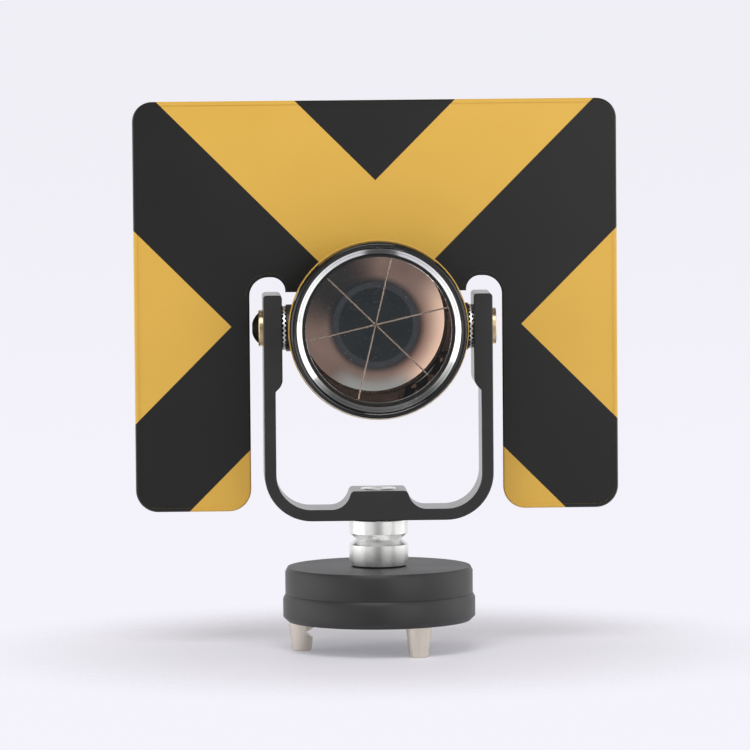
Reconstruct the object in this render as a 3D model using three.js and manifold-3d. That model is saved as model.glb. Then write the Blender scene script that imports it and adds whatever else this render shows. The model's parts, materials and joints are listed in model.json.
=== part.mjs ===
// Tilting survey prism with a target plate, on a three-stud tribrach adapter.
// Millimetres, +Z up. The prism looks along -Y. The object stands on its three studs on Z = 0.
// Heights in this file start at the adapter's flat underside, and the last lines raise the object.
import * as THREE from 'three';
import { mergeVertices } from 'three/addons/utils/BufferGeometryUtils.js';
import Module from 'manifold-3d';

const wasm = await Module();
wasm.setup();

// ---------------------------------------------------------------- driving dimensions

const GAP = 0.1;            // clearance between pieces that are screwed or pressed together
const RUNNING_GAP = 0.1;    // radial clearance of a shaft that turns in a bush
const LARGE_FACETS = 60;    // facets round a large turned piece
const MEDIUM_FACETS = 36;   // facets round a trunnion pad or a large screw head
const SMALL_FACETS = 28;    // facets round a screw, bush or washer
const CORNER_FACETS = 16;   // facets round one rounded corner of the yoke or the plate
const THROUGH = 1;          // how far a cutting tool reaches past the face it opens
const ACROSS = 60;          // half length of a tool that cuts through everything on the tilt axis
const CUBE = 120;           // side of the cube whose corner shapes the glass and its seat

const PIVOT_Z = 125.1;      // height of the tilt axis

const ADAPTER = {
  radius: 41,               // lower disc
  capRadius: 40,            // upper disc
  seamZ: 11.5,
  stepZ: 9.6,
  topZ: 23,
  footChamfer: 2,
  topChamferRadius: 1,
  topChamferHeight: 1.9,
};

const STUD = {
  radius: 7.94,             // 5/8 inch survey thread
  relief: 1,                // undercut below the thread, and the chamfer at its top
  flangeAcrossFlats: 25.4,
  flangeZ: 5.6,
  topZ: 36.3,
  socket: 8,                // across flats of the hexagon socket in its lower end
  socketDepth: 5,
};

const FOOT = {
  circle: 33.2,             // radius of the circle that the three studs stand on
  angles: [178, -62, 58],   // degrees from +X
  radius: 5.55,
  tipRadius: 4.2,
  tipChamfer: 0.5,
  height: 12.9,
  notchRadius: 1.1,         // how close the notch's inner corner comes to the stud's axis
  notchTopZ: -2.9,
  notchMiddleZ: -4.8,
  notchBottomZ: -7.8,
  shankRadius: 4,
  shankLength: 7.6,
};

const COVER_SCREW = {
  circle: 27,
  angles: [0, 120, 240],
  shank: 2,
  head: 4,
  headHeight: 2.2,
  length: 16,
  socket: 2.5,
  socketDepth: 1.4,
};

const COLLAR = {
  radius: 12.6,
  bottomZ: 23.7,
  topZ: 43.5,
  chamfer: 0.5,
  grooveTopZ: 37.3,
  grooveZ: 34.8,
  grooveBottomZ: 32.5,
  grooveDepth: 3,
  neckRadius: 11.9,
  neckTopZ: 26.3,
  threadTopZ: 37.5,
  washerRadius: 11.3,       // dark washer under the collar
  padRim: 3,                // width of the rim round the friction washer's seat
  padDepth: 1,
};

const YOKE = {
  halfWidth: 48.6,
  depth: 26,
  bottomZ: 43.6,
  topZ: PIVOT_Z + 14.6,
  floor: 4.8,
  thickArm: 8,
  thinArm: 5,
  thickEndZ: PIVOT_Z - 23.4,
  thinStartZ: PIVOT_Z - 26.4,
  outerRadius: 20,
  innerRadius: 15,
  tipRadius: 1.5,
  thickEndRadius: 5.7,
  thinStartRadius: 1,
  bossHeight: 12.6,
  bossHalfTop: 11.8,
  bossHalfFoot: 14.7,
  bossTopRadius: 2,
  bossFootRadius: 8,
  chamfer: 0.3,
};

const PAN = {
  shoulder: 5,
  thread: 3,
  threadGap: 1,             // from the thread's lower end to the stud's bore below it
  head: 7.7,
  headHeight: 3,
  chamfer: 0.3,
  proud: 0.3,
  bushWall: 1.4,
  socket: 4,
};

// Wave spring in the gap between the counterbore's floor and the pan screw's head.
const SPRING = { gap: 0.8, inset: 0.4, thickness: 0.3, rise: 0.15, waves: 3, facets: 24 };

const TRUNNION = {
  padRadius: 10,
  padX: 38.7,               // outer face of the trunnion pad, from the centre plane
  screw: 4,
  bushWall: 1.4,
  flangeRadius: 7.8,
  flange: 1.8,
  flangeChamfer: 0.3,
  slot: 1.6,                // width of the screwdriver slot
  slotDepth: 1,
  domeRadius: 6.4,
  dome: 2.8,
  domeSteps: 8,
  socketFloor: 0.6,         // metal left under the dome's hexagon socket
};

// Toothed lock washer on each side of the head.
const TOOTH = { play: 0.4, radius: 9.4, count: 28, rise: 0.4, thickness: 0.8 };

// The head's own frame: x to the right, y up, z towards the viewer, origin on the tilt axis.
const HEAD = {
  barrel: 34.2,             // outside radius of the canister
  bore: 32.3,
  rim: 38.2,                // coloured rim just behind the bezel
  rimFrontZ: 18.5,
  rimBackZ: 16.9,
  noseZ: 20.8,
  backZ: -34,
  holder: 36.3,
  plateFrontZ: -10.2,
  plate: 2.4,
  nut: 4.6,
};

const BEZEL = {
  radius: 37.8,
  frontZ: 24.6,
  backZ: 18.6,
  sideZ: 20,                // where the straight side turns into the rounded crest
  coneTop: 35,
  coneZ: 23.75,
  lip: 32.3,
  lipFrontZ: 21.4,
  steps: 8,                 // facets of each half of the crest
};

const GLASS = { radius: 32, frontZ: 19.4, length: 50, flatRadius: 30.9, edgeAngle: -45, facets: 72 };

// Plastic seat behind the glass: its gap to it, its front face and its step from the canister's end.
const SEAT = { clearance: 0.5, frontZ: -2, backStep: 0.5 };

const REAR_CAP = { thickness: 3, bevel: 1.5, grooveInner: 14, grooveOuter: 26, grooveDepth: 0.8 };
const SPANNER_HOLE = { x: 20, radius: 2, depth: 2 };

const PLATE = {
  halfWidth: 103.1,
  top: 96.1,
  bottom: -79,
  topCorner: 8.5,
  lobeCorner: 9.5,
  slotOuter: 53.9,
  slotOuterRadius: 8,
  slotInner: 38.6,
  slotInnerRadius: 6,
  slotTop: 20.95,
  neckBottom: 14.5,
  edge: 0.5,
  rimWidth: 1.6,
  rimRelief: 0.3,
};

const NUT_NOTCH = { width: 3, depth: 5, height: 4, angles: [45, 135, 225, 315] };

// ---------------------------------------------------------------- geometry helpers

/** Welds a three.js geometry into one closed indexed surface and drops its zero-area triangles. */
function weld(geometry) {
  geometry.deleteAttribute('normal');
  geometry.deleteAttribute('uv');
  const welded = mergeVertices(geometry, 1e-4);
  const source = welded.index.array;
  const kept = [];
  for (let i = 0; i < source.length; i += 3) {
    const corners = [source[i], source[i + 1], source[i + 2]];
    if (new Set(corners).size === 3) {
      kept.push(...corners);
    }
  }
  welded.setIndex(kept);
  return welded;
}

function toSolid(geometry) {
  const vertProperties = Float32Array.from(geometry.attributes.position.array);
  const triVerts = Uint32Array.from(geometry.index.array);
  return new wasm.Manifold(new wasm.Mesh({ numProp: 3, vertProperties, triVerts }));
}

function toGeometry(solid) {
  const mesh = solid.getMesh();
  const geometry = new THREE.BufferGeometry();
  geometry.setAttribute('position', new THREE.BufferAttribute(mesh.vertProperties, 3));
  geometry.setIndex(new THREE.BufferAttribute(mesh.triVerts, 1));
  return geometry;
}

function cut(body, ...tools) {
  return toGeometry(tools.reduce((solid, tool) => solid.subtract(toSolid(tool)), toSolid(body)));
}

function join(body, ...others) {
  return toGeometry(others.reduce((solid, other) => solid.add(toSolid(other)), toSolid(body)));
}

function common(first, second) {
  return toGeometry(toSolid(first).intersect(toSolid(second)));
}

/** Solid of revolution about Z through [radius, z] points, listed counter-clockwise. */
function turned(points, facets = LARGE_FACETS) {
  const profile = points.map(([radius, z]) => new THREE.Vector2(radius, z));
  return weld(new THREE.LatheGeometry(profile, facets).rotateX(Math.PI / 2));
}

function disc(radius, lowZ, highZ, facets = SMALL_FACETS) {
  return turned([[0, lowZ], [radius, lowZ], [radius, highZ], [0, highZ]], facets);
}

function ring(inner, outer, lowZ, highZ, facets = SMALL_FACETS) {
  return turned([[inner, lowZ], [outer, lowZ], [outer, highZ], [inner, highZ], [inner, lowZ]], facets);
}

function hexagon(acrossFlats, lowZ, highZ) {
  const radius = acrossFlats / Math.sqrt(3);
  const prism = new THREE.CylinderGeometry(radius, radius, highZ - lowZ, 6);
  return weld(prism.rotateX(Math.PI / 2).translate(0, 0, (lowZ + highZ) / 2));
}

function box(width, depth, height, x = 0, y = 0, z = 0) {
  return weld(new THREE.BoxGeometry(width, depth, height).translate(x, y, z));
}

/** Closed outline through [x, y, radius] corners, each rounded by an arc of its own radius. */
function roundedOutline(corners, facets = CORNER_FACETS) {
  const points = [];
  const add = (point) => {
    if (!points.length || points[points.length - 1].distanceTo(point) > 1e-4) {
      points.push(point);
    }
  };
  corners.forEach(([x, y, radius = 0], i) => {
    const corner = new THREE.Vector2(x, y);
    if (radius === 0) {
      add(corner);
      return;
    }
    const [beforeX, beforeY] = corners[(i + corners.length - 1) % corners.length];
    const [afterX, afterY] = corners[(i + 1) % corners.length];
    const back = new THREE.Vector2(beforeX, beforeY).sub(corner).normalize();
    const ahead = new THREE.Vector2(afterX, afterY).sub(corner).normalize();
    const half = Math.acos(back.dot(ahead)) / 2;
    const centre = back.clone().add(ahead).setLength(radius / Math.sin(half)).add(corner);
    const start = back.multiplyScalar(radius / Math.tan(half)).add(corner).sub(centre);
    const end = ahead.multiplyScalar(radius / Math.tan(half)).add(corner).sub(centre);
    const sweep = Math.atan2(start.cross(end), start.dot(end));
    for (let step = 0; step <= facets; step += 1) {
      const arm = start.clone().rotateAround(new THREE.Vector2(), (sweep * step) / facets);
      add(arm.add(centre));
    }
  });
  return new THREE.Shape(points);
}

/** Adds the mirror image of a run of [x, y, radius] corners, so the outline is symmetric about x = 0. */
function mirrored(corners) {
  const left = corners.map(([x, y, radius]) => [-x, y, radius]).reverse();
  return [...corners, ...left];
}

/** Extrudes an outline along Z to the given thickness about z = 0, with an optional chamfer on its edges. */
function slab(shape, thickness, chamfer = 0) {
  const geometry = new THREE.ExtrudeGeometry(shape, {
    depth: thickness - 2 * chamfer,
    bevelEnabled: chamfer > 0,
    bevelThickness: chamfer,
    bevelSize: chamfer,
    bevelOffset: -chamfer,
    bevelSegments: 1,
  });
  return weld(geometry.translate(0, 0, chamfer - thickness / 2));
}

function polar(radius, degrees) {
  const angle = THREE.MathUtils.degToRad(degrees);
  return [radius * Math.cos(angle), radius * Math.sin(angle)];
}

// ---------------------------------------------------------------- materials and assembly helpers

function material(color, roughness, metalness) {
  return new THREE.MeshStandardMaterial({ color, roughness, metalness });
}

const blackAnodised = material(0x39393b, 0.5, 0.6);
const glossBlack = material(0x111113, 0.12, 0);
const brightAluminium = material(0xc8c8ca, 0.3, 1);
const nickel = material(0xbeb8ad, 0.3, 1);
const steel = material(0xa9aaad, 0.35, 1);
const brass = material(0xc9a24f, 0.35, 1);
const yellow = material(0xdba642, 0.5, 0);
const rubber = material(0x161617, 0.9, 0);
const blackPlastic = material(0x1b1b1c, 0.6, 0);
const clearGlass = material(0xe8f2ee, 0.02, 0);

function place(parent, name, geometry, finish) {
  const mesh = new THREE.Mesh(geometry, finish);
  mesh.name = name;
  parent.add(mesh);
  return mesh;
}

function frame(parent, settings = {}) {
  const group = new THREE.Group();
  group.position.set(...(settings.position ?? [0, 0, 0]));
  group.rotation.set(...(settings.rotation ?? [0, 0, 0]));
  parent.add(group);
  return group;
}

// ---------------------------------------------------------------- tribrach adapter

function screwHoleBelow([x, y]) {
  const { shank, head, headHeight } = COVER_SCREW;
  const sink = headHeight + GAP;
  const profile = [
    [0, -THROUGH],
    [head + THROUGH, -THROUGH],
    [head + GAP, GAP],
    [shank + 2 * GAP, sink + GAP],
    [shank + 2 * GAP, ADAPTER.seamZ + THROUGH],
    [0, ADAPTER.seamZ + THROUGH],
  ];
  return turned(profile, SMALL_FACETS).translate(x, y, 0);
}

function adapterBase() {
  const { radius, capRadius, seamZ, stepZ, footChamfer } = ADAPTER;
  const blank = turned([
    [0, 0],
    [radius - footChamfer, 0],
    [radius, footChamfer],
    [radius, stepZ],
    [capRadius, seamZ],
    [0, seamZ],
  ]);
  const pocket = hexagon(STUD.flangeAcrossFlats + 2 * GAP, STUD.flangeZ - GAP, seamZ + THROUGH);
  const centreHole = disc(STUD.radius, -THROUGH, seamZ);
  const footHoles = FOOT.angles.map((angle) => {
    const [x, y] = polar(FOOT.circle, angle);
    return disc(FOOT.shankRadius + GAP, -THROUGH, FOOT.shankLength + GAP).translate(x, y, 0);
  });
  const screwHoles = COVER_SCREW.angles.map((angle) => screwHoleBelow(polar(COVER_SCREW.circle, angle)));
  return cut(blank, pocket, centreHole, ...footHoles, ...screwHoles);
}

function adapterCap() {
  const { capRadius, seamZ, topZ, topChamferRadius, topChamferHeight } = ADAPTER;
  const blank = turned([
    [0, seamZ + GAP],
    [capRadius, seamZ + GAP],
    [capRadius, topZ - topChamferHeight],
    [capRadius - topChamferRadius, topZ],
    [0, topZ],
  ]);
  const bore = disc(STUD.radius + 2 * GAP, 0, topZ + THROUGH);
  const screwHoles = COVER_SCREW.angles.map((angle) => {
    const [x, y] = polar(COVER_SCREW.circle, angle);
    return disc(COVER_SCREW.shank + GAP, 0, COVER_SCREW.length + 2 * GAP).translate(x, y, 0);
  });
  return cut(blank, bore, ...screwHoles);
}

function coverScrew() {
  const { shank, head, headHeight, length } = COVER_SCREW;
  const sink = 2 * GAP;
  const blank = turned([
    [0, sink],
    [head - GAP, sink],
    [shank, headHeight],
    [shank, length],
    [0, length],
  ], SMALL_FACETS);
  return cut(blank, hexagon(COVER_SCREW.socket, 0, sink + COVER_SCREW.socketDepth));
}

/** Bayonet stud: a tapered peg with an inward notch under the disc, where the tribrach's clamp plate bites. */
function footStud() {
  const { radius, tipRadius, tipChamfer, height, notchRadius, notchTopZ, notchMiddleZ, notchBottomZ } = FOOT;
  const blank = turned([
    [0, -height],
    [tipRadius - tipChamfer, -height],
    [tipRadius, -height + tipChamfer],
    [radius, -GAP],
    [FOOT.shankRadius, -GAP],
    [FOOT.shankRadius, FOOT.shankLength],
    [0, FOOT.shankLength],
  ], SMALL_FACETS);
  const outline = new THREE.Shape([
    new THREE.Vector2(notchRadius, notchMiddleZ),
    new THREE.Vector2(radius, notchBottomZ),
    new THREE.Vector2(radius + THROUGH, notchBottomZ),
    new THREE.Vector2(radius + THROUGH, notchTopZ),
    new THREE.Vector2(radius, notchTopZ),
  ]);
  const notch = slab(outline, 3 * radius).rotateX(Math.PI / 2);
  return cut(blank, notch);
}

function threadedStud() {
  const { radius, relief, flangeAcrossFlats, flangeZ, topZ, socket, socketDepth } = STUD;
  const flange = hexagon(flangeAcrossFlats, flangeZ, ADAPTER.seamZ - GAP);
  const shaft = turned([
    [0, flangeZ],
    [radius - relief, flangeZ],
    [radius - relief, ADAPTER.seamZ - relief],
    [radius, ADAPTER.seamZ - relief],
    [radius, topZ - relief],
    [radius - relief, topZ],
    [0, topZ],
  ]);
  return cut(join(flange, shaft), hexagon(socket, 0, flangeZ + socketDepth));
}

function spigotCollar() {
  const c = COLLAR;
  const blank = turned([
    [0, c.bottomZ],
    [c.neckRadius, c.bottomZ],
    [c.radius, c.neckTopZ],
    [c.radius, c.grooveBottomZ],
    [c.radius - c.grooveDepth, c.grooveZ],
    [c.radius, c.grooveTopZ],
    [c.radius, c.topZ - c.chamfer],
    [c.radius - c.chamfer, c.topZ],
    [0, c.topZ],
  ]);
  const threadBore = disc(STUD.radius + GAP, 0, c.threadTopZ);
  const screwBore = disc(PAN.thread + GAP, 0, c.topZ + THROUGH);
  const washerSeat = disc(c.radius - c.padRim, c.topZ - c.padDepth, c.topZ + THROUGH);
  return cut(blank, threadBore, screwBore, washerSeat);
}

/** Dark washer that the collar is screwed down on, set back from the collar's edge. */
function collarWasher() {
  return ring(STUD.radius + 2 * GAP, COLLAR.washerRadius, ADAPTER.topZ + GAP, COLLAR.bottomZ - GAP);
}

function frictionWasher() {
  const outer = COLLAR.radius - COLLAR.padRim - GAP;
  return ring(PAN.shoulder + GAP, outer, COLLAR.topZ - COLLAR.padDepth + GAP, COLLAR.topZ);
}

/** Shoulder screw that holds the yoke down on the collar and lets it swing round. */
function panScrew() {
  const seatZ = YOKE.bottomZ + YOKE.bossHeight - PAN.headHeight + SPRING.gap;
  const topZ = YOKE.bottomZ + YOKE.bossHeight + PAN.proud;
  const shoulderZ = COLLAR.topZ - COLLAR.padDepth + GAP;
  const threadZ = COLLAR.threadTopZ + PAN.threadGap;
  const blank = turned([
    [0, threadZ],
    [PAN.thread, threadZ],
    [PAN.thread, shoulderZ],
    [PAN.shoulder, shoulderZ],
    [PAN.shoulder, seatZ],
    [PAN.head, seatZ],
    [PAN.head, topZ - PAN.chamfer],
    [PAN.head - PAN.chamfer, topZ],
    [0, topZ],
  ], MEDIUM_FACETS);
  return cut(blank, hexagon(PAN.socket, seatZ, topZ + THROUGH));
}

/** Washer whose outer edge waves up and down round its turn: a few waves spring, and many bite as teeth. */
function wavyWasher({ inner, outer, thickness, rise, waves, facets, middleZ }) {
  const washer = ring(inner, outer, middleZ - thickness / 2, middleZ + thickness / 2, facets);
  const points = washer.attributes.position;
  for (let i = 0; i < points.count; i += 1) {
    const [x, y] = [points.getX(i), points.getY(i)];
    const reach = (Math.hypot(x, y) - inner) / (outer - inner);
    points.setZ(i, points.getZ(i) + rise * reach * Math.sin(waves * Math.atan2(y, x)));
  }
  return washer;
}

function panSpring() {
  return wavyWasher({
    inner: PAN.shoulder + GAP,
    outer: PAN.head - SPRING.inset,
    thickness: SPRING.thickness,
    rise: SPRING.rise,
    waves: SPRING.waves,
    facets: SPRING.facets,
    middleZ: YOKE.bottomZ + YOKE.bossHeight - PAN.headHeight + SPRING.gap / 2,
  });
}

function buildAdapter(parent) {
  const adapter = frame(parent);
  place(adapter, 'adapter_base', adapterBase(), blackAnodised);
  place(adapter, 'adapter_cap', adapterCap(), blackAnodised);
  FOOT.angles.forEach((angle, i) => {
    const [x, y] = polar(FOOT.circle, angle);
    const turn = THREE.MathUtils.degToRad(angle + 180);
    const seat = frame(adapter, { position: [x, y, 0], rotation: [0, 0, turn] });
    place(seat, `foot_stud_${i + 1}`, footStud(), nickel);
  });
  COVER_SCREW.angles.forEach((angle, i) => {
    const [x, y] = polar(COVER_SCREW.circle, angle);
    place(adapter, `cover_screw_${i + 1}`, coverScrew(), steel).position.set(x, y, 0);
  });
  place(adapter, 'threaded_stud', threadedStud(), steel);
  place(adapter, 'collar_washer', collarWasher(), rubber);
  place(adapter, 'spigot_collar', spigotCollar(), brightAluminium);
  place(adapter, 'friction_washer', frictionWasher(), brass);
  place(adapter, 'pan_screw', panScrew(), steel);
  place(adapter, 'pan_spring', panSpring(), steel);
}

// ---------------------------------------------------------------- yoke

function yokeFrame() {
  const y = YOKE;
  const floorZ = y.bottomZ + y.floor;
  const thickX = y.halfWidth - y.thickArm;
  const thinX = y.halfWidth - y.thinArm;
  const corners = mirrored([
    [y.halfWidth, y.bottomZ, y.outerRadius],
    [y.halfWidth, y.topZ, y.tipRadius],
    [thickX, y.topZ, y.tipRadius],
    [thickX, y.thickEndZ, y.thickEndRadius],
    [thinX, y.thinStartZ, y.thinStartRadius],
    [thinX, floorZ, y.innerRadius],
    [y.bossHalfFoot, floorZ, y.bossFootRadius],
    [y.bossHalfTop, y.bottomZ + y.bossHeight, y.bossTopRadius],
  ]);
  const blank = slab(roundedOutline(corners), y.depth, y.chamfer).rotateX(Math.PI / 2);
  const pivotBore = disc(TRUNNION.screw + RUNNING_GAP + TRUNNION.bushWall + GAP, -ACROSS, ACROSS);
  const bossTopZ = y.bottomZ + y.bossHeight;
  const panBore = disc(PAN.shoulder + RUNNING_GAP + PAN.bushWall + GAP, 0, bossTopZ + THROUGH);
  const counterbore = disc(PAN.head + 2 * GAP, bossTopZ - PAN.headHeight, bossTopZ + THROUGH, MEDIUM_FACETS);
  return cut(blank, pivotBore.rotateY(Math.PI / 2).translate(0, 0, PIVOT_Z), panBore, counterbore);
}

function panBush() {
  const inner = PAN.shoulder + RUNNING_GAP;
  const highZ = YOKE.bottomZ + YOKE.bossHeight - PAN.headHeight - GAP;
  return ring(inner, inner + PAN.bushWall, YOKE.bottomZ + GAP, highZ);
}

/** Bush pressed into one arm. Its z runs outwards along the tilt axis, and the flange lies on the arm. */
function pivotBush(flanged) {
  const inner = TRUNNION.screw + RUNNING_GAP;
  const armIn = YOKE.halfWidth - YOKE.thickArm;
  const armOut = YOKE.halfWidth;
  if (!flanged) {
    return ring(inner, inner + TRUNNION.bushWall, armIn, armOut);
  }
  return turned([
    [inner, armIn],
    [inner + TRUNNION.bushWall, armIn],
    [inner + TRUNNION.bushWall, armOut + GAP],
    [TRUNNION.flangeRadius, armOut + GAP],
    [TRUNNION.flangeRadius, armOut + TRUNNION.flange - TRUNNION.flangeChamfer],
    [TRUNNION.flangeRadius - TRUNNION.flangeChamfer, armOut + TRUNNION.flange],
    [inner, armOut + TRUNNION.flange],
    [inner, armIn],
  ], SMALL_FACETS);
}

/** Toothed lock washer between an arm and the trunnion pad: its grip is what holds the head's tilt. */
function toothWasher() {
  const armIn = YOKE.halfWidth - YOKE.thickArm;
  return wavyWasher({
    inner: TRUNNION.screw + TOOTH.play,
    outer: TOOTH.radius,
    thickness: TOOTH.thickness,
    rise: TOOTH.rise,
    waves: TOOTH.count,
    facets: 4 * TOOTH.count,
    middleZ: (armIn + TRUNNION.padX) / 2,
  });
}

/** A frame on the tilt axis whose z points outwards through the left or the right arm. */
function sideFrame(parent, side) {
  const turn = side === 'right' ? Math.PI / 2 : -Math.PI / 2;
  return frame(parent, { position: [0, 0, PIVOT_Z], rotation: [0, turn, 0] });
}

function buildYoke(parent) {
  const yoke = frame(parent);
  place(yoke, 'yoke', yokeFrame(), blackAnodised);
  place(yoke, 'pan_bush', panBush(), brass);
  for (const side of ['left', 'right']) {
    const sideGroup = sideFrame(yoke, side);
    place(sideGroup, `pivot_bush_${side}`, pivotBush(side === 'left'), brass);
    place(sideGroup, `tooth_washer_${side}`, toothWasher(), steel);
  }
}

// ---------------------------------------------------------------- prism head, in its own frame

function holderRing() {
  const tube = ring(HEAD.barrel + GAP, HEAD.holder, HEAD.plateFrontZ + GAP, HEAD.rimBackZ - GAP, LARGE_FACETS);
  const pads = disc(TRUNNION.padRadius, -TRUNNION.padX, TRUNNION.padX, MEDIUM_FACETS).rotateY(Math.PI / 2);
  const inside = disc(HEAD.barrel + GAP, -ACROSS, ACROSS, LARGE_FACETS);
  const threads = disc(TRUNNION.screw + GAP, -ACROSS, ACROSS).rotateY(Math.PI / 2);
  return cut(join(tube, pads), inside, threads);
}

function canister() {
  const h = HEAD;
  return turned([
    [h.bore, h.backZ],
    [h.barrel, h.backZ],
    [h.barrel, h.rimBackZ],
    [h.rim, h.rimBackZ],
    [h.rim, h.rimFrontZ],
    [h.barrel, h.rimFrontZ],
    [h.barrel, h.noseZ],
    [h.bore, h.noseZ],
    [h.bore, h.backZ],
  ]);
}

/** Profile of the bezel's rounded crest: a tall quarter ellipse outside and a low one inside. */
function bezelCrest() {
  const b = BEZEL;
  const middle = (b.radius + b.coneTop) / 2;
  const halfWidth = (b.radius - b.coneTop) / 2;
  const points = [];
  for (let i = 0; i <= 2 * b.steps; i += 1) {
    const angle = (Math.PI * i) / (2 * b.steps);
    const footZ = i < b.steps ? b.sideZ : b.coneZ;
    const z = footZ + (b.frontZ - footZ) * Math.sin(angle);
    points.push([middle + halfWidth * Math.cos(angle), z]);
  }
  return points;
}

/** Screw-on front ring: a rounded outer edge, a polished cone and a lip over the glass. */
function bezel() {
  const b = BEZEL;
  const inside = HEAD.barrel + GAP;
  return turned([
    [inside, b.backZ],
    [b.radius, b.backZ],
    ...bezelCrest(),
    [b.lip, b.lipFrontZ],
    [b.lip, HEAD.noseZ + GAP],
    [inside, HEAD.noseZ + GAP],
    [inside, b.backZ],
  ]);
}

/** Rubber ring between the bezel's lip and the chamfer of the glass, which it covers. */
function gasket() {
  const chamferZ = (radius) => GLASS.frontZ - (radius - GLASS.flatRadius);
  const inner = GLASS.flatRadius + GAP;
  const outer = GLASS.radius + GAP;
  const frontZ = HEAD.noseZ;
  return turned([
    [inner, chamferZ(inner) + 2 * GAP],
    [outer, chamferZ(outer) + 2 * GAP],
    [outer, frontZ],
    [inner, frontZ],
    [inner, chamferZ(inner) + 2 * GAP],
  ]);
}

/** A cube's corner with its point at the origin and its three edges rising evenly about +Z. */
function cubeCorner(size) {
  const cube = new THREE.BoxGeometry(size, size, size).translate(size / 2, size / 2, size / 2);
  cube.rotateZ(-Math.PI / 4).rotateY(-Math.atan(Math.SQRT2));
  return weld(cube.rotateZ(THREE.MathUtils.degToRad(GLASS.edgeAngle)));
}

function prismGlass() {
  const g = GLASS;
  const apexZ = g.frontZ - g.length;
  const chamferDepth = g.radius - g.flatRadius;
  const blank = turned([
    [0, apexZ],
    [g.radius, apexZ],
    [g.radius, g.frontZ - chamferDepth],
    [g.flatRadius, g.frontZ],
    [0, g.frontZ],
  ], g.facets);
  return common(blank, cubeCorner(CUBE).translate(0, 0, apexZ));
}

/** Plastic seat that fills the back of the canister round the glass, with a hollow cube-corner socket. */
function prismSeat() {
  const apexZ = GLASS.frontZ - GLASS.length - SEAT.clearance * Math.sqrt(3);
  const blank = disc(HEAD.bore - GAP, HEAD.backZ + SEAT.backStep, SEAT.frontZ, LARGE_FACETS);
  return cut(blank, cubeCorner(CUBE).translate(0, 0, apexZ));
}

function rearCap() {
  const { thickness, bevel, grooveInner, grooveOuter, grooveDepth } = REAR_CAP;
  const frontZ = HEAD.backZ - GAP;
  const backZ = frontZ - thickness;
  const blank = turned([
    [0, backZ],
    [HEAD.barrel - bevel, backZ],
    [HEAD.barrel, backZ + bevel],
    [HEAD.barrel, frontZ],
    [0, frontZ],
  ]);
  const groove = ring(grooveInner, grooveOuter, backZ - THROUGH, backZ + grooveDepth, LARGE_FACETS);
  const spannerHoles = [-SPANNER_HOLE.x, SPANNER_HOLE.x].map((x) => {
    return disc(SPANNER_HOLE.radius, backZ - THROUGH, backZ + SPANNER_HOLE.depth).translate(x, 0, 0);
  });
  return cut(blank, groove, ...spannerHoles);
}

/** Corners of the target plate, or of the sunk field inside its raised rim when inset is above 0. */
function plateCorners(inset) {
  const p = PLATE;
  return mirrored([
    [p.slotInner - inset, p.neckBottom, 0],
    [p.slotInner - inset, p.slotTop + inset, p.slotInnerRadius + inset],
    [p.slotOuter + inset, p.slotTop + inset, p.slotOuterRadius + inset],
    [p.slotOuter + inset, p.bottom + inset, p.lobeCorner - inset],
    [p.halfWidth - inset, p.bottom + inset, p.lobeCorner - inset],
    [p.halfWidth - inset, p.top - inset, p.topCorner - inset],
  ]);
}

function targetPlate() {
  const backZ = HEAD.plateFrontZ - HEAD.plate;
  const middleZ = HEAD.plateFrontZ - HEAD.plate / 2;
  const wings = slab(roundedOutline(plateCorners(0)), HEAD.plate, PLATE.edge).translate(0, 0, middleZ);
  const hub = disc(HEAD.holder, backZ, HEAD.plateFrontZ, LARGE_FACETS);
  const field = slab(roundedOutline(plateCorners(PLATE.rimWidth)), 2 * PLATE.rimRelief);
  const hole = disc(HEAD.barrel + 2 * GAP, backZ - THROUGH, HEAD.plateFrontZ + THROUGH, LARGE_FACETS);
  return cut(join(wings, hub), field.translate(0, 0, HEAD.plateFrontZ), hole);
}

/** Notched ring nut that clamps the plate against the holder from behind. */
function ringNut() {
  const frontZ = HEAD.plateFrontZ - HEAD.plate - GAP;
  const body = ring(HEAD.barrel + GAP, HEAD.holder, frontZ - HEAD.nut, frontZ, LARGE_FACETS);
  const { width, depth, height, angles } = NUT_NOTCH;
  const notches = angles.map((angle) => {
    const [x, y] = polar(HEAD.holder, angle);
    const notch = box(width, depth, height, 0, 0, frontZ - HEAD.nut);
    return notch.rotateZ(THREE.MathUtils.degToRad(angle)).translate(x, y, 0);
  });
  return cut(body, ...notches);
}

/** Screw on the tilt axis, its z outwards: shank in the bush, thread in the trunnion pad. */
function pivotScrew(head) {
  const threadEnd = HEAD.barrel + 3 * GAP;
  return turned([[0, threadEnd], [TRUNNION.screw, threadEnd], ...head], SMALL_FACETS);
}

function slottedPivotScrew() {
  const seat = YOKE.halfWidth + GAP;
  const top = seat + TRUNNION.flange;
  const screw = pivotScrew([
    [TRUNNION.screw, seat],
    [TRUNNION.flangeRadius, seat],
    [TRUNNION.flangeRadius, top - TRUNNION.flangeChamfer],
    [TRUNNION.flangeRadius - TRUNNION.flangeChamfer, top],
    [0, top],
  ]);
  return cut(screw, box(2 * TRUNNION.padRadius, TRUNNION.slot, 2 * TRUNNION.slotDepth, 0, 0, top));
}

function domedFrictionScrew() {
  const seat = YOKE.halfWidth + TRUNNION.flange + GAP;
  const { domeRadius, dome, domeSteps, screw, socketFloor } = TRUNNION;
  const sphere = (domeRadius ** 2 + dome ** 2) / (2 * dome);
  const head = [[screw, seat]];
  for (let i = 0; i < domeSteps; i += 1) {
    const angle = Math.asin(domeRadius / sphere) * (1 - i / domeSteps);
    head.push([sphere * Math.sin(angle), seat + dome - sphere * (1 - Math.cos(angle))]);
  }
  head.push([0, seat + dome]);
  return cut(pivotScrew(head), hexagon(PAN.socket, seat + socketFloor, seat + dome + THROUGH));
}

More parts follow.
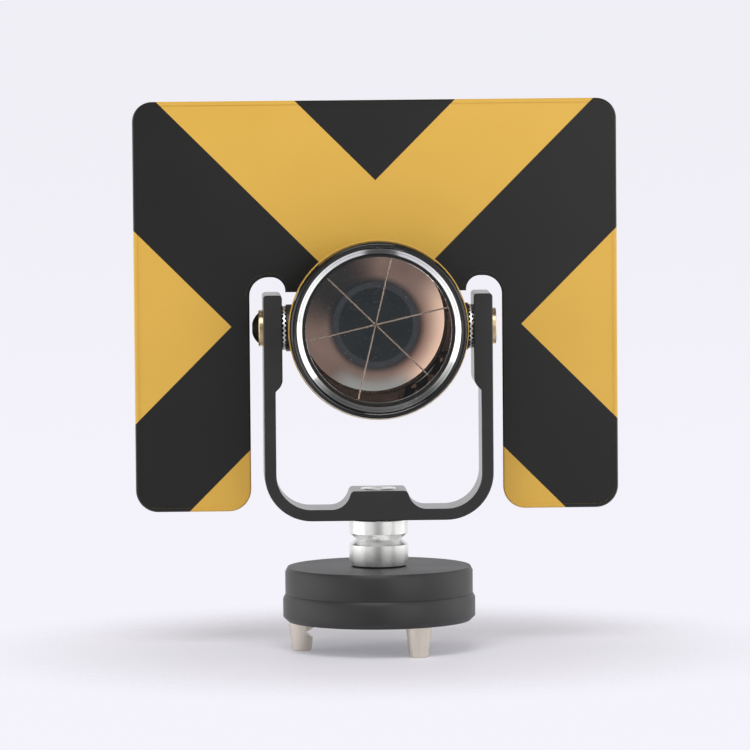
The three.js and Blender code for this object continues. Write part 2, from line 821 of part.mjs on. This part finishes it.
function buildHead(parent) {
  const head = frame(parent, { position: [0, 0, PIVOT_Z], rotation: [Math.PI / 2, 0, 0] });
  place(head, 'holder_ring', holderRing(), blackAnodised);
  place(head, 'prism_canister', canister(), yellow);
  place(head, 'bezel_ring', bezel(), glossBlack);
  place(head, 'front_gasket', gasket(), rubber);
  place(head, 'corner_cube_glass', prismGlass(), clearGlass);
  place(head, 'prism_seat', prismSeat(), blackPlastic);
  place(head, 'rear_cap', rearCap(), blackPlastic);
  place(head, 'target_plate', targetPlate(), yellow);
  place(head, 'ring_nut', ringNut(), blackAnodised);
  place(sideFrame(parent, 'right'), 'pivot_screw', slottedPivotScrew(), brass);
  place(sideFrame(parent, 'left'), 'friction_screw', domedFrictionScrew(), blackAnodised);
}

// ---------------------------------------------------------------- the object

const surveyPrism = new THREE.Group();
surveyPrism.position.z = FOOT.height;
buildAdapter(surveyPrism);
buildYoke(surveyPrism);
buildHead(surveyPrism);

export default surveyPrism;
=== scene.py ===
"""Looks, light and camera of the survey prism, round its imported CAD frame. Lengths are metres."""
import json
import math

import bmesh
import bpy
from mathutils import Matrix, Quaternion, Vector


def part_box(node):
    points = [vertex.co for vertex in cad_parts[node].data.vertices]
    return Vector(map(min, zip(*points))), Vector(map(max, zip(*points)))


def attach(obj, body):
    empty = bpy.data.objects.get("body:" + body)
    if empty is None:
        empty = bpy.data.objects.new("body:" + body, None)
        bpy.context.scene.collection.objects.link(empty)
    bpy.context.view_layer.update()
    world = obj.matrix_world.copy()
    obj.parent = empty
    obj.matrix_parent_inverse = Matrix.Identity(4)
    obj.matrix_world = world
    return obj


MM = 0.001

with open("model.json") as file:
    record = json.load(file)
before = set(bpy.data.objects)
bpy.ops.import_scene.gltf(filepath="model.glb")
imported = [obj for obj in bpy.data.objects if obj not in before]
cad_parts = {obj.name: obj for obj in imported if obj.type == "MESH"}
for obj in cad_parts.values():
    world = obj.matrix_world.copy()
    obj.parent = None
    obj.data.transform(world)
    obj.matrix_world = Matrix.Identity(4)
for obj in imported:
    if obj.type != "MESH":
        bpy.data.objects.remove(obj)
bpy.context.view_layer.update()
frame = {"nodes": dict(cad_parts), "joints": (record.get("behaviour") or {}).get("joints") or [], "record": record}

JOINTS = {joint["name"]: joint for joint in frame["joints"]}
PIVOT = Vector(JOINTS["tilt"]["pos_m"])     # where the tilt axis meets the prism's line of sight


# ---------------------------------------------------------------- node-tree helpers


class Graph:
    """A material or world node tree, with short calls for the nodes that this scene uses."""

    def __init__(self, tree):
        self.tree = tree
        self.tree.nodes.clear()
        self.output = None

    def add(self, kind, links=None, **settings):
        """Adds a node with its settings, and sets or links the inputs given by name or index."""
        node = self.tree.nodes.new(kind)
        for key, value in settings.items():
            setattr(node, key, value)
        for key, value in (links or {}).items():
            self.feed(node.inputs[key], value)
        return node

    def feed(self, socket, value):
        if isinstance(value, bpy.types.NodeSocket):
            self.tree.links.new(value, socket)
        else:
            socket.default_value = value

    def show(self, surface, kind="ShaderNodeOutputMaterial"):
        """Sends a shader to the tree's output node, which is made the first time."""
        if self.output is None:
            self.output = self.add(kind)
        self.tree.links.new(surface, self.output.inputs[0])

    def math(self, operation, *values):
        return self.add("ShaderNodeMath", dict(enumerate(values)), operation=operation).outputs[0]

    def step(self, value, low, high):
        """0 where value is under low, 1 over high, smooth in between."""
        links = {"Value": value, "From Min": low, "From Max": high}
        return self.add("ShaderNodeMapRange", links, interpolation_type="SMOOTHSTEP").outputs[0]

    def scale(self, value, low, high):
        """Maps 0..1 to low..high."""
        links = {"Value": value, "To Min": low, "To Max": high}
        return self.add("ShaderNodeMapRange", links).outputs[0]

    def mix(self, factor, first, second):
        """Mixes two colours, which are sockets 6 and 7 of a node that can also mix other types."""
        node = self.add("ShaderNodeMix", data_type="RGBA")
        self.feed(node.inputs[0], factor)
        self.feed(node.inputs[6], first)
        self.feed(node.inputs[7], second)
        return node.outputs[2]

    def axes(self, vector):
        return self.add("ShaderNodeSeparateXYZ", {0: vector}).outputs

    def stretched(self, vector, x, y, z):
        """The coordinates scaled along each axis, so that noise comes out drawn into streaks."""
        links = {0: vector, 1: (x, y, z)}
        return self.add("ShaderNodeVectorMath", links, operation="MULTIPLY").outputs[0]

    def length(self, vector):
        return self.add("ShaderNodeVectorMath", {0: vector}, operation="LENGTH").outputs["Value"]

    def noise(self, vector, size, detail=2.0):
        """Noise from 0 to 1 with features about as long as size."""
        links = {"Vector": vector, "Scale": 1 / size, "Detail": detail}
        return self.add("ShaderNodeTexNoise", links).outputs[0]

    def bump(self, height, strength, distance):
        links = {"Height": height, "Strength": strength, "Distance": distance}
        return self.add("ShaderNodeBump", links).outputs[0]


def new_material(name, metallic=0.0, specular=0.5):
    """A material with a Principled shader. Also gives its graph, that shader and the object's
    coordinates."""
    material = bpy.data.materials.new(name)
    material.use_nodes = True
    graph = Graph(material.node_tree)
    shader = graph.add("ShaderNodeBsdfPrincipled")
    shader.inputs["Metallic"].default_value = metallic
    shader.inputs["Specular IOR Level"].default_value = specular
    graph.show(shader.outputs[0])
    coords = graph.add("ShaderNodeTexCoord").outputs["Object"]
    return material, graph, shader, coords


def grey(value):
    return (value, value, value, 1)


def front_mask(g, low, high):
    """1 on faces whose angle to the prism's line of sight has a cosine over high, 0 under low."""
    normal = g.add("ShaderNodeTexCoord").outputs["Normal"]
    return g.step(g.math("MULTIPLY", g.axes(normal)[1], -1.0), low, high)


# ---------------------------------------------------------------- metal and plastic


COPPER_PAINT = (0.30, 0.19, 0.14, 1)    # brown paint on the walls that show through the glass
TURNED_ANISOTROPY = 0.65
QUARTER_TURN = 0.25         # the shader counts rotation in whole turns
TOOL_MARK = 0.1 * MM        # width of a lathe's tool marks
TOOL_MARK_DEPTH = 0.02 * MM
AROUND = 0.02               # scale of the tool marks' noise round the part, against 1 along it


def satin_black(name, dark, light, rough, specular=0.5):
    """Bead-blasted black anodising: fine even grain, faint clouds and slightly uneven gloss."""
    material, g, shader, coords = new_material(name, specular=specular)
    grain = g.noise(coords, 0.25 * MM, detail=3.0)
    clouds = g.noise(coords, 14 * MM, detail=3.0)
    colour = g.mix(g.math("MULTIPLY", clouds, grain), dark, light)
    g.feed(shader.inputs["Base Color"], colour)
    gloss = g.math("ADD", g.scale(clouds, -0.04, 0.04), g.scale(grain, rough - 0.05, rough + 0.05))
    g.feed(shader.inputs["Roughness"], gloss)
    g.feed(shader.inputs["Normal"], g.bump(grain, 0.12, 0.05 * MM))
    return material


def turned_metal(name, colour, worn, rough, ring_axis="z"):
    """Turned metal: fine tool marks run round the axis and stretch the highlights along it."""
    material, g, shader, coords = new_material(name, metallic=1.0)
    shader.inputs["Anisotropic"].default_value = TURNED_ANISOTROPY
    shader.inputs["Anisotropic Rotation"].default_value = QUARTER_TURN
    tangent = g.add("ShaderNodeTangent", direction_type="RADIAL", axis=ring_axis.upper())
    g.feed(shader.inputs["Tangent"], tangent.outputs[0])
    spread = [1 if axis == ring_axis else AROUND for axis in "xyz"]
    tool_marks = g.noise(g.stretched(coords, *spread), TOOL_MARK)
    spots = g.step(g.noise(coords, 2.2 * MM, detail=4.0), 0.5, 0.75)
    g.feed(shader.inputs["Base Color"], g.mix(spots, colour, worn))
    gloss = g.scale(tool_marks, rough - 0.06, rough + 0.08)
    g.feed(shader.inputs["Roughness"], g.math("ADD", gloss, g.scale(spots, 0.0, 0.05)))
    g.feed(shader.inputs["Normal"], g.bump(tool_marks, 0.25, TOOL_MARK_DEPTH))
    return material


def satin_nickel():
    """Nickel plating over a turned peg: warm grey, mottled, with small dark pits."""
    material, g, shader, coords = new_material("nickel", metallic=1.0)
    mottle = g.noise(coords, 1.6 * MM, detail=5.0)
    pits = g.step(g.noise(coords, 0.7 * MM), 0.72, 0.78)
    plated = g.mix(mottle, (0.66, 0.60, 0.52, 1), (0.74, 0.68, 0.60, 1))
    g.feed(shader.inputs["Base Color"], g.mix(pits, plated, (0.20, 0.17, 0.14, 1)))
    g.feed(shader.inputs["Roughness"], g.scale(mottle, 0.26, 0.42))
    height = g.math("SUBTRACT", mottle, pits)
    g.feed(shader.inputs["Normal"], g.bump(height, 0.25, 0.05 * MM))
    return material


def rubber():
    material, g, shader, coords = new_material("rubber", specular=0.3)
    grain = g.noise(coords, 0.4 * MM, detail=3.0)
    g.feed(shader.inputs["Base Color"], g.mix(grain, grey(0.008), grey(0.018)))
    g.feed(shader.inputs["Roughness"], g.scale(grain, 0.6, 0.85))
    g.feed(shader.inputs["Normal"], g.bump(grain, 0.3, 0.05 * MM))
    return material


def moulded_plastic():
    """Black moulding with a fine spark-eroded texture. The glass's socket is painted brown."""
    material, g, shader, coords = new_material("moulded_plastic")
    grain = g.noise(coords, 0.5 * MM, detail=4.0)
    socket_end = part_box("rear_cap")[0].y
    socket = g.math("LESS_THAN", g.axes(coords)[1], socket_end)
    moulding = g.mix(grain, grey(0.010), grey(0.022))
    g.feed(shader.inputs["Base Color"], g.mix(socket, moulding, COPPER_PAINT))
    g.feed(shader.inputs["Roughness"], g.scale(grain, 0.4, 0.58))
    g.feed(shader.inputs["Normal"], g.bump(grain, 0.35, 0.08 * MM))
    return material


CUT_INNER = 32.5 * MM       # radii between which the bezel's cone is cut bright
CUT_OUTER = 34.65 * MM
CUT_LINE = 33.75 * MM       # radius of a fine darker line in the bright cone
CUT_LINE_HALF_WIDTH = 0.12 * MM
CONE_COSINES = (0.6, 0.7)   # of a face's angle to the line of sight, where cone begins
FLAT_COSINES = (0.86, 0.9)  # and where it ends, because the face counts as flat
CUT_METAL = (0.86, 0.87, 0.87, 1)


def distance_from_sight(g, coords):
    """Distance of a point from the prism's line of sight."""
    x, _, z = g.axes(coords)
    up = g.math("SUBTRACT", z, PIVOT.z)
    squares = g.math("ADD", g.math("MULTIPLY", x, x), g.math("MULTIPLY", up, up))
    return g.math("SQRT", squares)


def cut_mask(g, radius):
    """1 on the bezel's inner cone."""
    ring = g.math("MULTIPLY", g.math("GREATER_THAN", radius, CUT_INNER),
                  g.math("LESS_THAN", radius, CUT_OUTER))
    cone = g.math("MULTIPLY", ring, front_mask(g, *CONE_COSINES))
    return g.math("MULTIPLY", cone, g.math("SUBTRACT", 1.0, front_mask(g, *FLAT_COSINES)))


def gloss_bezel():
    """Polished black ring with a little dust. Its inner cone is cut back to bright metal."""
    material, g, shader, coords = new_material("gloss_bezel")
    radius = distance_from_sight(g, coords)
    bright = cut_mask(g, radius)
    from_line = g.math("ABSOLUTE", g.math("SUBTRACT", radius, CUT_LINE))
    line = g.math("LESS_THAN", from_line, CUT_LINE_HALF_WIDTH)
    dust = g.step(g.noise(coords, 0.6 * MM, detail=1.0), 0.74, 0.8)
    coating = g.mix(dust, grey(0.006), grey(0.08))
    metal = g.mix(line, CUT_METAL, grey(0.5))
    g.feed(shader.inputs["Base Color"], g.mix(bright, coating, metal))
    g.feed(shader.inputs["Metallic"], bright)
    gloss = g.scale(g.noise(coords, 6 * MM, detail=3.0), 0.08, 0.13)
    g.feed(shader.inputs["Roughness"], g.math("ADD", gloss, g.scale(dust, 0.0, 0.4)))
    return material


CANISTER_BORE = 32.6 * MM   # radius up to which the canister counts as its bore


def enamel_yellow():
    """Yellow enamel of the canister, with a slight orange-peel surface. Its bore is brown."""
    material, g, shader, coords = new_material("enamel_yellow")
    peel = g.noise(coords, 0.8 * MM)
    clouds = g.noise(coords, 18 * MM)
    enamel = g.mix(clouds, (0.72, 0.42, 0.075, 1), (0.78, 0.47, 0.095, 1))
    outside = g.step(distance_from_sight(g, coords), CANISTER_BORE, CANISTER_BORE + MM)
    g.feed(shader.inputs["Base Color"], g.mix(outside, COPPER_PAINT, enamel))
    g.feed(shader.inputs["Roughness"], g.scale(peel, 0.26, 0.38))
    g.feed(shader.inputs["Normal"], g.bump(peel, 0.12, 0.05 * MM))
    return material


# ---------------------------------------------------------------- the printed target plate


PRINT_SHIFT = 0.2 * MM      # how far to the right the pattern is printed
V_APEX = 61.9 * MM          # height of the lowest point of the black V, above the tilt axis
BAND_INNER = 3.0 * MM       # height where the black bands' upper edges would meet
BAND_LOWER = 1.5 * MM       # and their lower edges
SIDE_APEX = 61.9 * MM       # inner point of the yellow side triangles, from the centre
PRINT_EDGE = 0.03 * MM      # softness of a printed edge


def print_mask(g, coords):
    """1 where the plate is printed black: diagonal bands and a V, all at 45 degrees."""
    x, _, z = g.axes(coords)
    across = g.math("ABSOLUTE", g.math("SUBTRACT", x, PRINT_SHIFT))
    up = g.math("SUBTRACT", z, PIVOT.z)
    slope = g.math("SUBTRACT", up, across)

    def above(value, level):
        return g.step(g.math("SUBTRACT", value, level), -PRINT_EDGE, PRINT_EDGE)

    chevron = g.math("SUBTRACT", above(slope, BAND_INNER), above(slope, V_APEX))
    sides = above(g.math("SUBTRACT", across, g.math("ABSOLUTE", up)), SIDE_APEX)
    lower = above(g.math("MULTIPLY", g.math("ADD", up, across), -1.0), -BAND_LOWER)
    yellow = g.math("MAXIMUM", g.math("MAXIMUM", chevron, sides), lower)
    return g.math("SUBTRACT", 1.0, yellow)


def printed_plate():
    """Satin yellow plate with black screen printing, both slightly uneven and faintly grained."""
    material, g, shader, coords = new_material("printed_plate")
    grain = g.noise(coords, 0.35 * MM, detail=3.0)
    clouds = g.noise(coords, 30 * MM, detail=3.0)
    black = g.math("MULTIPLY", print_mask(g, coords), front_mask(g, 0.5, 0.6))
    paint = g.mix(clouds, (0.64, 0.377, 0.056, 1), (0.69, 0.41, 0.068, 1))
    ink = g.mix(grain, grey(0.005), grey(0.008))
    g.feed(shader.inputs["Base Color"], g.mix(black, paint, ink))
    satin = g.math("ADD", g.scale(grain, 0.29, 0.37), g.scale(clouds, -0.03, 0.03))
    g.feed(shader.inputs["Roughness"], satin)
    height = g.math("ADD", g.scale(grain, 0.0, 0.35), g.scale(black, 0.0, 0.65))
    g.feed(shader.inputs["Normal"], g.bump(height, 0.25, 0.05 * MM))
    return material


# ---------------------------------------------------------------- the glass


GLASS_INDEX = 1.52


def optical_glass():
    """Polished clear glass with the warm tint of its coated rear faces and a few specks of dust."""
    material, g, shader, coords = new_material("optical_glass")
    shader.inputs["IOR"].default_value = GLASS_INDEX
    shader.inputs["Transmission Weight"].default_value = 1.0
    dust = g.step(g.noise(coords, 0.5 * MM, detail=1.0), 0.76, 0.8)
    g.feed(shader.inputs["Base Color"], g.mix(dust, (0.95, 0.92, 0.89, 1), grey(0.8)))
    g.feed(shader.inputs["Roughness"], g.scale(dust, 0.0, 0.5))
    return material


def ground_edge():
    """The fine ground bevel along each edge of the cube corner."""
    material, g, shader, coords = new_material("ground_edge")
    grain = g.noise(coords, 0.3 * MM, detail=3.0)
    g.feed(shader.inputs["Base Color"], g.mix(grain, (0.72, 0.56, 0.46, 1), (0.88, 0.74, 0.64, 1)))
    g.feed(shader.inputs["Roughness"], g.scale(grain, 0.5, 0.8))
    return material


EDGE_ANGLES = (15.0, 135.0, 255.0)      # of the cube corner's edges, seen from the front
EDGE_SIDEWAYS = math.sqrt(2 / 3)        # an edge's unit vector, across the line of sight
EDGE_FORWARDS = 1 / math.sqrt(3)        # and along it
BEVEL_LEG = 0.42 * MM
BEVEL_INSET = 0.02 * MM                 # how far inside the glass a bevel lies
BEVEL_START = 0.6 * MM                  # along the edge, from the cube corner's point
BEVEL_MARGIN = 0.15 * MM                # left free at the glass's round side


def edge_direction(degrees):
    """Unit vector along one of the cube corner's edges, from its point towards the front."""
    angle = math.radians(degrees)
    across = EDGE_SIDEWAYS * math.cos(angle)
    up = EDGE_SIDEWAYS * math.sin(angle)
    return Vector((across, -EDGE_FORWARDS, up))


def slim_bar(ends):
    """A closed three-sided bar whose two ends are triangles of points."""
    mesh = bmesh.new()
    rings = [[mesh.verts.new(point) for point in points] for points in ends]
    for a, b in ((0, 1), (1, 2), (2, 0)):
        mesh.faces.new((rings[0][a], rings[0][b], rings[1][b], rings[1][a]))
    mesh.faces.new(rings[0])
    mesh.faces.new(rings[1])
    bmesh.ops.recalc_face_normals(mesh, faces=mesh.faces)
    return mesh


def edge_bevels():
    """Three slim bevels inside the glass, one along each edge where two of its rear faces meet."""
    low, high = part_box("corner_cube_glass")
    apex = Vector((0, high.y, PIVOT.z))
    radius = (high.x - low.x) / 2
    reaches = (BEVEL_START, (radius - BEVEL_MARGIN) / EDGE_SIDEWAYS)
    directions = [edge_direction(angle) for angle in EDGE_ANGLES]
    finish = ground_edge()
    for i, along in enumerate(directions):
        first, second = directions[i - 1], directions[i - 2]
        inset = (first + second) * BEVEL_INSET
        corners = [apex + along * reach + inset for reach in reaches]
        ends = [(corner, corner + first * BEVEL_LEG, corner + second * BEVEL_LEG)
                for corner in corners]
        piece = add_mesh(f"glass_edge_{i + 1}", slim_bar(ends), finish)
        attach(piece, "head")


def add_mesh(name, mesh, material):
    data = bpy.data.meshes.new(name)
    mesh.to_mesh(data)
    mesh.free()
    data.materials.append(material)
    piece = bpy.data.objects.new(name, data)
    bpy.context.scene.collection.objects.link(piece)
    return piece


# ---------------------------------------------------------------- dressing the CAD nodes


SMOOTH_ANGLE = math.radians(30)
SAME_POINT = 0.001 * MM     # corners closer than this are one point


def smoothing_group():
    """Geometry nodes that join a node's split corners and shade it smooth up to SMOOTH_ANGLE."""
    group = bpy.data.node_groups.new("smooth_by_angle", "GeometryNodeTree")
    group.interface.new_socket("Geometry", in_out="INPUT", socket_type="NodeSocketGeometry")
    group.interface.new_socket("Geometry", in_out="OUTPUT", socket_type="NodeSocketGeometry")
    nodes, links = group.nodes, group.links
    start = nodes.new("NodeGroupInput")
    merge = nodes.new("GeometryNodeMergeByDistance")
    merge.inputs["Distance"].default_value = SAME_POINT
    forget = nodes.new("GeometryNodeRemoveAttribute")
    forget.inputs["Name"].default_value = "custom_normal"
    soften = nodes.new("GeometryNodeSetShadeSmooth")
    angle = nodes.new("GeometryNodeInputMeshEdgeAngle")
    compare = nodes.new("FunctionNodeCompare")
    compare.operation = "GREATER_THAN"
    compare.inputs["B"].default_value = SMOOTH_ANGLE
    sharpen = nodes.new("GeometryNodeSetShadeSmooth")
    sharpen.domain = "EDGE"
    sharpen.inputs["Shade Smooth"].default_value = False
    end = nodes.new("NodeGroupOutput")
    links.new(start.outputs[0], merge.inputs["Geometry"])
    links.new(merge.outputs[0], forget.inputs["Geometry"])
    links.new(forget.outputs[0], soften.inputs["Geometry"])
    links.new(soften.outputs[0], sharpen.inputs["Geometry"])
    links.new(angle.outputs["Unsigned Angle"], compare.inputs["A"])
    links.new(compare.outputs[0], sharpen.inputs["Selection"])
    links.new(sharpen.outputs[0], end.inputs[0])
    return group


ADAPTER_BLACK = (grey(0.013), (0.022, 0.022, 0.023, 1))
YOKE_BLACK = (grey(0.022), (0.036, 0.036, 0.037, 1))
SCREW_BLACK = (grey(0.003), grey(0.005))
ALUMINIUM = ((0.78, 0.78, 0.77, 1), (0.72, 0.72, 0.71, 1))
BRASS = ((0.74, 0.57, 0.35, 1), (0.60, 0.43, 0.24, 1))
ZINC_STEEL = ((0.84, 0.84, 0.85, 1), (0.62, 0.62, 0.62, 1))


def slot_materials():
    """The material of each of the record's material slots."""
    return {
        "black_anodised": satin_black("adapter_black", *ADAPTER_BLACK, 0.44, specular=0.42),
        "black_yoke": satin_black("yoke_black", *YOKE_BLACK, 0.23),
        "black_screw": satin_black("screw_black", *SCREW_BLACK, 0.3, specular=0.05),
        "nickel_stud": satin_nickel(),
        "screw_steel": turned_metal("zinc_steel", *ZINC_STEEL, 0.34),
        "black_rubber": rubber(),
        "bright_aluminium": turned_metal("aluminium", *ALUMINIUM, 0.3),
        "brass": turned_metal("brass", *BRASS, 0.34, ring_axis="x"),
        "yellow_canister": enamel_yellow(),
        "gloss_black_bezel": gloss_bezel(),
        "optical_glass": optical_glass(),
        "black_plastic": moulded_plastic(),
        "target_yellow": printed_plate(),
    }


def dress_nodes():
    """Gives every CAD node its material and its smooth shading. The glass stays faceted."""
    slots = slot_materials()
    group = smoothing_group()
    slot_of = {part["node"]: part["material_slot"] for part in frame["record"]["subparts"]}
    for name, node in frame["nodes"].items():
        node.data.materials.clear()
        node.data.materials.append(slots[slot_of[name]])
        if name != "corner_cube_glass":
            modifier = node.modifiers.new("smooth_by_angle", "NODES")
            modifier.node_group = group


# ---------------------------------------------------------------- stage, light and camera


BACKGROUND_HIGH = (0.868, 0.860, 0.920, 1)
BACKGROUND_LOW = (0.913, 0.896, 0.965, 1)
CAMERA_AT = Vector((-0.1079, -2.8964, 0.3352))
CAMERA_LOOKS_AT = Vector((-0.0010, 0.0, 0.1175))
CAMERA_ROLL = math.radians(-0.48)
CAMERA_LENS = 328.0
CAMERA_SENSOR = 36.0
FLOOR_RADIUS = 14.0
# painted light: the floor's own glow, which lightens the shadows round the object
FLOOR_SHADOW_LIFT_GLOW = (0.190, 0.187, 0.203, 1)
FLOOR_FADE = (0.07, 0.2)    # distances from the adapter's centre between which the floor fades out


def pale_floor():
    """A pale floor with a faint glow, which is painted light that lightens the shadows round the object. It fades
    out into the background away from the object.
    """
    mesh = bmesh.new()
    bmesh.ops.create_circle(mesh, cap_ends=True, segments=96, radius=FLOOR_RADIUS)
    material, g, shader, coords = new_material("pale_floor", specular=0.2)
    grain = g.noise(coords, 3 * MM)
    g.feed(shader.inputs["Base Color"], g.mix(grain, (0.63, 0.62, 0.66, 1), (0.65, 0.64, 0.68, 1)))
    g.feed(shader.inputs["Roughness"], g.scale(grain, 0.6, 0.7))
    # painted light: the glow lightens the floor's shadows
    shader.inputs["Emission Color"].default_value = FLOOR_SHADOW_LIFT_GLOW
    shader.inputs["Emission Strength"].default_value = 1.0
    floor = add_mesh("floor", mesh, material)
    clear = g.add("ShaderNodeBsdfTransparent").outputs[0]
    away = g.step(g.length(coords), *FLOOR_FADE)
    fade = g.add("ShaderNodeMixShader", {0: away, 1: shader.outputs[0], 2: clear})
    g.show(fade.outputs[0])


SOFTBOXES = (               # name, place, width, height and power in watts
    ("softbox_left", (-1.1, 0.0, 0.23), 1.2, 0.62, 2.3),
    ("softbox_right", (1.1, 0.0, 0.35), 1.2, 0.85, 3.2),
    ("softbox_front", (0.62, -1.0, 0.42), 0.9, 0.7, 3.6),
    ("softbox_top", (-0.2, -1.05, 1.55), 1.1, 0.9, 17.6),
)


def soft_light(name, at, width, height, power):
    """A rectangular softbox that faces the prism and is not itself in the picture."""
    data = bpy.data.lights.new(name, "AREA")
    data.shape = "RECTANGLE"
    data.size = width
    data.size_y = height
    data.energy = power
    light = bpy.data.objects.new(name, data)
    light.location = at
    light.rotation_mode = "QUATERNION"
    light.rotation_quaternion = (PIVOT - Vector(at)).to_track_quat("-Z", "Y")
    light.visible_camera = False
    bpy.context.scene.collection.objects.link(light)


LEFT_GLOW = grey(1.25)      # brightness of each part of the studio, to all but the camera
RIGHT_GLOW = grey(0.5)
FRONT_GLOW = grey(0.2)
HIGH_FRONT_GLOW = grey(0.6)
BACK_GLOW = (0.92, 0.92, 0.95, 1)
CEILING_GLOW = grey(0.11)
FRONT_GROUND_GLOW = grey(0.6)
GROUND_GLOW = grey(1.25)


def studio_world():
    """Pale background to the camera. To everything else, a studio that is dark overhead and in the
    middle of its front, brighter at the back and on the right, and brightest left and below."""
    world = bpy.data.worlds.new("studio")
    world.use_nodes = True
    bpy.context.scene.world = world
    g = Graph(world.node_tree)
    direction = g.add("ShaderNodeTexCoord").outputs["Generated"]
    x, y, z = g.axes(direction)
    sides = g.mix(g.step(x, -0.2, 0.2), LEFT_GLOW, RIGHT_GLOW)
    front = g.mix(g.step(g.math("ABSOLUTE", x), 0.12, 0.6), FRONT_GLOW, sides)
    front = g.mix(g.step(z, 0.15, 0.5), front, HIGH_FRONT_GLOW)
    wall = g.mix(g.step(y, -0.35, 0.45), front, BACK_GLOW)
    room = g.mix(g.step(z, 0.42, 0.78), wall, CEILING_GLOW)
    ground = g.mix(g.step(y, -0.9, -0.2), FRONT_GROUND_GLOW, GROUND_GLOW)
    room = g.mix(g.step(z, 0.0, -0.3), room, ground)
    background = g.mix(g.step(z, -0.02, -0.12), BACKGROUND_HIGH, BACKGROUND_LOW)
    seen = g.add("ShaderNodeLightPath").outputs["Is Camera Ray"]
    surface = g.add("ShaderNodeBackground", {0: g.mix(seen, room, background), 1: 1.0})
    g.show(surface.outputs[0], "ShaderNodeOutputWorld")


CARD_RADIUS = 0.4
BEHIND_CAMERA = 0.05
LENS_RADIUS = 0.038
RIM_INSIDE = (0.031, 0.033)             # radii over which the lens's paler rim begins
RIM_OUTSIDE = (LENS_RADIUS, 0.036)      # and ends
LENS_FADE = (0.036, 0.044)              # the lens turns into the room
WARM_FADE = (LENS_RADIUS, 0.06)         # the warm side grows bright
PATCH_FADE = (0.042, 0.056)             # the pale patch begins
ROOM_FADE = (0.09, 0.2)                 # the room turns into plain grey
WARM_ANGLE = math.radians(-18)          # of the warm side in the glass, anticlockwise from right
DIM_ANGLE = math.radians(135)           # of the dim side
PALE_ANGLE = math.radians(268)          # and of the pale patch


def side_mask(g, coords, angle, low, high):
    """1 on the side of the card that the glass shows at this angle."""
    x, y, _ = g.axes(coords)
    across = g.math("MULTIPLY", x, math.cos(angle))
    along = g.math("SUBTRACT", across, g.math("MULTIPLY", y, math.sin(angle)))
    return g.step(g.math("DIVIDE", along, g.length(coords)), low, high)


def room_colours(g, coords):
    """A dim brown room with a warm side, a dark side and a pale patch low down."""
    radius = g.length(coords)
    blur = g.noise(coords, 30 * MM, detail=1.0)
    dark = g.mix(blur, (0.012, 0.014, 0.016, 1), (0.045, 0.045, 0.047, 1))
    brown = g.mix(blur, (0.13, 0.085, 0.075, 1), (0.27, 0.19, 0.165, 1))
    room = g.mix(side_mask(g, coords, DIM_ANGLE, 0.6, 1.0), brown, dark)
    tan = g.mix(g.step(radius, *WARM_FADE), (0.16, 0.08, 0.07, 1), (1.0, 0.71, 0.56, 1))
    warm = g.mix(g.scale(blur, 0.0, 0.3), tan, (0.4, 0.26, 0.21, 1))
    room = g.mix(side_mask(g, coords, WARM_ANGLE, 0.4, 0.97), room, warm)
    low_down = side_mask(g, coords, PALE_ANGLE, 0.72, 0.96)
    patch = g.math("MULTIPLY", low_down, g.step(radius, *PATCH_FADE))
    return g.mix(patch, room, (0.30, 0.32, 0.32, 1))


def lens_colours(g, coords):
    """A dark lens with a slightly paler rim."""
    radius = g.length(coords)
    coating = g.noise(coords, 26 * MM, detail=1.0)
    lens = g.mix(coating, (0.012, 0.017, 0.021, 1), (0.026, 0.032, 0.037, 1))
    rim = g.math("MULTIPLY", g.step(radius, *RIM_INSIDE), g.step(radius, *RIM_OUTSIDE))
    return g.mix(g.scale(rim, 0.0, 0.3), lens, (0.10, 0.10, 0.12, 1))


def room_card():
    """What the prism sends back: a round card at the camera, with a lens in the middle of a room.
    Only reflections and the light that passes through the glass see it."""
    mesh = bmesh.new()
    bmesh.ops.create_circle(mesh, cap_ends=True, segments=64, radius=CARD_RADIUS)
    material = bpy.data.materials.new("room_card")
    material.use_nodes = True
    g = Graph(material.node_tree)
    coords = g.add("ShaderNodeTexCoord").outputs["Object"]
    radius = g.length(coords)
    past_lens = g.step(radius, *LENS_FADE)
    seen = g.mix(past_lens, lens_colours(g, coords), room_colours(g, coords))
    seen = g.mix(g.step(radius, *ROOM_FADE), seen, grey(0.14))
    g.show(g.add("ShaderNodeEmission", {0: seen, 1: 1.0}).outputs[0])
    card = add_mesh("room_card", mesh, material)
    away = (CAMERA_AT - PIVOT).normalized()
    card.location = CAMERA_AT + away * BEHIND_CAMERA
    card.rotation_mode = "QUATERNION"
    card.rotation_quaternion = (-away).to_track_quat("Z", "Y")
    card.visible_camera = False
    card.visible_diffuse = False
    card.visible_shadow = False


def camera():
    data = bpy.data.cameras.new("camera")
    data.lens = CAMERA_LENS
    data.sensor_width = CAMERA_SENSOR
    data.clip_start = 0.1
    data.clip_end = 50.0
    eye = bpy.data.objects.new("camera", data)
    bpy.context.scene.collection.objects.link(eye)
    aim = CAMERA_LOOKS_AT - CAMERA_AT
    eye.location = CAMERA_AT
    eye.rotation_mode = "QUATERNION"
    eye.rotation_quaternion = aim.to_track_quat("-Z", "Y") @ Quaternion((0, 0, 1), CAMERA_ROLL)
    bpy.context.scene.camera = eye


dress_nodes()
edge_bevels()
pale_floor()
studio_world()
room_card()
for softbox in SOFTBOXES:
    soft_light(*softbox)
camera()

scene = bpy.context.scene
scene.view_settings.view_transform = "Standard"
